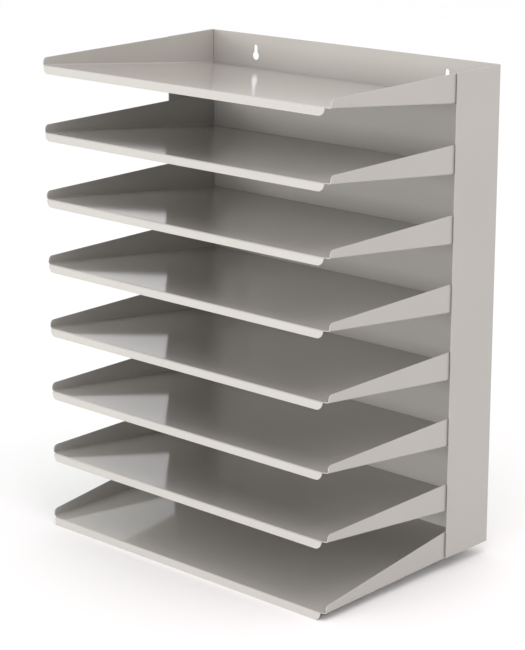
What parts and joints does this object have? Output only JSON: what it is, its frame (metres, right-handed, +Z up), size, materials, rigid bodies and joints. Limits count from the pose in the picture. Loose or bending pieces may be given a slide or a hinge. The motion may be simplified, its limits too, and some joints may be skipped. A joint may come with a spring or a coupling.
{
  "type": "pigeonhole mail sorter",
  "caption": "Steel mail sorter: open-front trays tipped back between the side flanges of a back panel with keyholes, for a wall or a desk.",
  "frame": {"origin": "under the middle of the sorter, on the level of its lowest edge, the lip of the base tray", "axes": "+X to the right of someone facing the open front, +Y to the back, +Z up"},
  "size_m": [0.343, 0.22, 0.4415],
  "materials": {
    "frame_paint": "semi-gloss warm light grey powder coat",
    "tray_paint": "semi-gloss warm light grey powder coat"
  },
  "bodies": {
    "root": {"back_frame": "frame_paint", "tray_1": "tray_paint", "tray_2": "tray_paint", "tray_3": "tray_paint", "tray_4": "tray_paint", "tray_5": "tray_paint", "tray_6": "tray_paint", "tray_7": "tray_paint", "base_tray": "tray_paint"}
  },
  "joints": []
}
